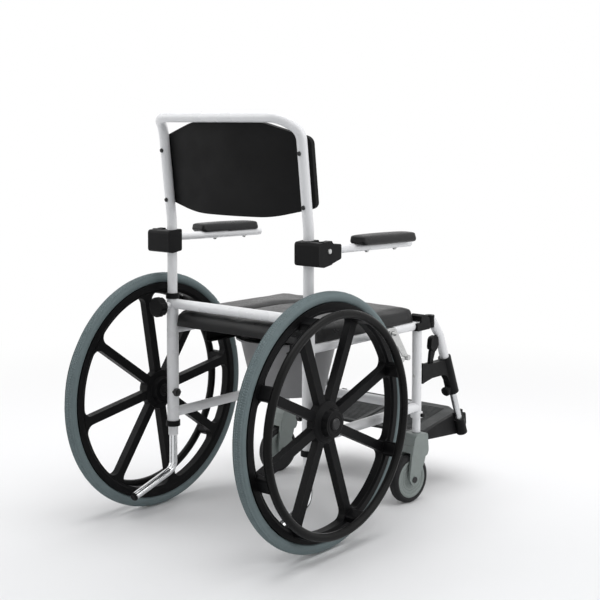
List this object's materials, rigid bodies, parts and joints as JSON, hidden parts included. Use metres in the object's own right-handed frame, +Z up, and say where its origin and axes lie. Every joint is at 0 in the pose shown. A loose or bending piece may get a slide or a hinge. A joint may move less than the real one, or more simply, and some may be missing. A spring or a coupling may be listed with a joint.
{
  "type": "commode chair",
  "caption": "Self-propelled shower and commode wheelchair with spoked wheels, handrims, swing-away leg rests, flip-up armrests, lift-off back and slide-out pail under a padded seat.",
  "frame": {"origin": "on the floor, at the middle of the chair's width and length", "axes": "+X to the sitter's left, +Y to the back, +Z up"},
  "size_m": [0.662, 1.0085, 1.0085],
  "materials": {
    "white_frame": "gloss powder coat",
    "chrome_tube": "polished",
    "silver_tube": "satin anodised",
    "steel_parts": "zinc plated",
    "black_moulding": "fine grained",
    "wheel_black": "satin moulded",
    "handrim_black": "satin powder coat",
    "slate_tyre": "ribbed rubber",
    "castor_black": "smooth rubber",
    "castor_grey": "satin moulded",
    "pad_black": "skinned foam, fine grain",
    "panel_black": "satin moulded",
    "pail_grey": "satin moulded",
    "plate_grey": "ribbed"
  },
  "bodies": {
    "frame": {"rear_posts": "white_frame", "front_posts": "white_frame", "frame_rails": "white_frame", "leg_collars": "black_moulding", "leg_buttons": "steel_parts", "inner_legs": "white_frame", "tipping_tubes": "chrome_tube", "tipping_plugs": "black_moulding", "wheel_axles": "steel_parts", "hanger_sockets": "black_moulding", "seat": "pad_black", "pail_rails": "black_moulding", "brake_brackets": "steel_parts"},
    "back": {"back_frame": "white_frame", "back_panel": "panel_black", "back_screws": "steel_parts", "arm_brackets": "black_moulding", "arm_pivots": "steel_parts"},
    "pail": {"pail": "pail_grey"},
    "seat_insert": {"seat_insert": "pad_black"},
    "wheel_l": {"tyre_l": "slate_tyre", "wheel_l": "wheel_black", "handrim_l": "handrim_black", "wheel_bearings_l": "steel_parts"},
    "castor_l": {"castor_fork_l": "castor_grey", "castor_stem_l": "steel_parts", "castor_axle_l": "steel_parts"},
    "castor_wheel_l": {"castor_core_l": "castor_grey", "castor_tyre_l": "castor_black"},
    "armrest_l": {"arm_tube_l": "white_frame", "arm_pad_l": "pad_black"},
    "leg_rest_l": {"hanger_tube_l": "white_frame", "hanger_fittings_l": "black_moulding"},
    "release_lever_l": {"release_lever_l": "black_moulding"},
    "leg_l": {"leg_tube_l": "silver_tube", "leg_hinge_l": "black_moulding"},
    "leg_knob_l": {"leg_knob_l": "black_moulding"},
    "footplate_l": {"footplate_l": "plate_grey"},
    "back_knob_l": {"back_knob_l": "black_moulding"},
    "wheel_lock_l": {"brake_lever_l": "steel_parts"},
    "wheel_r": {"tyre_r": "slate_tyre", "wheel_r": "wheel_black", "handrim_r": "handrim_black", "wheel_bearings_r": "steel_parts"},
    "castor_r": {"castor_fork_r": "castor_grey", "castor_stem_r": "steel_parts", "castor_axle_r": "steel_parts"},
    "castor_wheel_r": {"castor_core_r": "castor_grey", "castor_tyre_r": "castor_black"},
    "armrest_r": {"arm_tube_r": "white_frame", "arm_pad_r": "pad_black"},
    "leg_rest_r": {"hanger_tube_r": "white_frame", "hanger_fittings_r": "black_moulding"},
    "release_lever_r": {"release_lever_r": "black_moulding"},
    "leg_r": {"leg_tube_r": "silver_tube", "leg_hinge_r": "black_moulding"},
    "leg_knob_r": {"leg_knob_r": "black_moulding"},
    "footplate_r": {"footplate_r": "plate_grey"},
    "back_knob_r": {"back_knob_r": "black_moulding"},
    "wheel_lock_r": {"brake_lever_r": "steel_parts"}
  },
  "joints": [
    {"name": "back_lift", "type": "slide", "parent": "frame", "child": "back", "axis": [0, 0, 1], "range_m": [0, 0.1]},
    {"name": "pail_slide", "type": "slide", "parent": "frame", "child": "pail", "axis": [0, 1, 0], "range_m": [0, 0.295]},
    {"name": "seat_insert_lift", "type": "slide", "parent": "frame", "child": "seat_insert", "axis": [0, 0, 1], "range_m": [0, 0.06]},
    {"name": "wheel_spin_l", "type": "hinge", "parent": "frame", "child": "wheel_l", "pos_m": [0.2725, 0.20427, 0.3], "axis": [1, 0, 0], "continuous": true},
    {"name": "castor_swivel_l", "type": "hinge", "parent": "frame", "child": "castor_l", "pos_m": [0.2225, -0.24773, 0.15], "axis": [0, 0, 1], "continuous": true},
    {"name": "castor_spin_l", "type": "hinge", "parent": "castor_l", "child": "castor_wheel_l", "pos_m": [0.22667, -0.21803, 0.0625], "axis": [0.9903, -0.1392, 0], "continuous": true},
    {"name": "armrest_flip_l", "type": "hinge", "parent": "back", "child": "armrest_l", "pos_m": [0.251, 0.19127, 0.691], "axis": [-1, 0, 0], "range_deg": [0, 96]},
    {"name": "leg_rest_swing_l", "type": "hinge", "parent": "frame", "child": "leg_rest_l", "pos_m": [0.2225, -0.30573, 0.45], "axis": [0, 0, 1], "range_deg": [0, 90]},
    {"name": "release_lever_pull_l", "type": "hinge", "parent": "leg_rest_l", "child": "release_lever_l", "pos_m": [0.2225, -0.30773, 0.343], "axis": [-1, 0, 0], "range_deg": [0, 16], "stiffness_Nm_per_rad": 1, "springref_deg": -17.19},
    {"name": "leg_length_l", "type": "slide", "parent": "leg_rest_l", "child": "leg_l", "axis": [0, 0.3827, 0.9239], "range_m": [-0.03, 0.06]},
    {"name": "leg_knob_turn_l", "type": "hinge", "parent": "leg_rest_l", "child": "leg_knob_l", "pos_m": [0.2225, -0.41394, 0.272], "axis": [0, 0.9239, -0.3827], "range_deg": [0, 540]},
    {"name": "footplate_flip_l", "type": "hinge", "parent": "leg_l", "child": "footplate_l", "pos_m": [0.199, -0.29773, 0.158], "axis": [0, 0.9903, -0.1392], "range_deg": [0, 90]},
    {"name": "back_knob_turn_l", "type": "hinge", "parent": "frame", "child": "back_knob_l", "pos_m": [0.2225, 0.19827, 0.521], "axis": [0, 1, 0], "range_deg": [0, 720]},
    {"name": "wheel_lock_swing_l", "type": "hinge", "parent": "frame", "child": "wheel_lock_l", "pos_m": [0.2225, -0.11773, 0.455], "axis": [1, 0, 0], "range_deg": [0, 8]},
    {"name": "wheel_spin_r", "type": "hinge", "parent": "frame", "child": "wheel_r", "pos_m": [-0.2725, 0.20427, 0.3], "axis": [1, 0, 0], "continuous": true},
    {"name": "castor_swivel_r", "type": "hinge", "parent": "frame", "child": "castor_r", "pos_m": [-0.2225, -0.24773, 0.15], "axis": [0, 0, 1], "continuous": true},
    {"name": "castor_spin_r", "type": "hinge", "parent": "castor_r", "child": "castor_wheel_r", "pos_m": [-0.21832, -0.21803, 0.0625], "axis": [0.9903, -0.1392, 0], "continuous": true},
    {"name": "armrest_flip_r", "type": "hinge", "parent": "back", "child": "armrest_r", "pos_m": [-0.251, 0.19127, 0.691], "axis": [-1, 0, 0], "range_deg": [0, 96]},
    {"name": "leg_rest_swing_r", "type": "hinge", "parent": "frame", "child": "leg_rest_r", "pos_m": [-0.2225, -0.30573, 0.45], "axis": [0, 0, -1], "range_deg": [0, 90]},
    {"name": "release_lever_pull_r", "type": "hinge", "parent": "leg_rest_r", "child": "release_lever_r", "pos_m": [-0.2225, -0.30773, 0.343], "axis": [-1, 0, 0], "range_deg": [0, 16], "stiffness_Nm_per_rad": 1, "springref_deg": -17.19},
    {"name": "leg_length_r", "type": "slide", "parent": "leg_rest_r", "child": "leg_r", "axis": [0, 0.3827, 0.9239], "range_m": [-0.03, 0.06]},
    {"name": "leg_knob_turn_r", "type": "hinge", "parent": "leg_rest_r", "child": "leg_knob_r", "pos_m": [-0.2225, -0.41394, 0.272], "axis": [0, 0.9239, -0.3827], "range_deg": [0, 540]},
    {"name": "footplate_flip_r", "type": "hinge", "parent": "leg_r", "child": "footplate_r", "pos_m": [-0.199, -0.29773, 0.158], "axis": [0, -0.9903, 0.1392], "range_deg": [0, 90]},
    {"name": "back_knob_turn_r", "type": "hinge", "parent": "frame", "child": "back_knob_r", "pos_m": [-0.2225, 0.19827, 0.521], "axis": [0, 1, 0], "range_deg": [0, 720]},
    {"name": "wheel_lock_swing_r", "type": "hinge", "parent": "frame", "child": "wheel_lock_r", "pos_m": [-0.2225, -0.11773, 0.455], "axis": [1, 0, 0], "range_deg": [0, 8]}
  ]
}
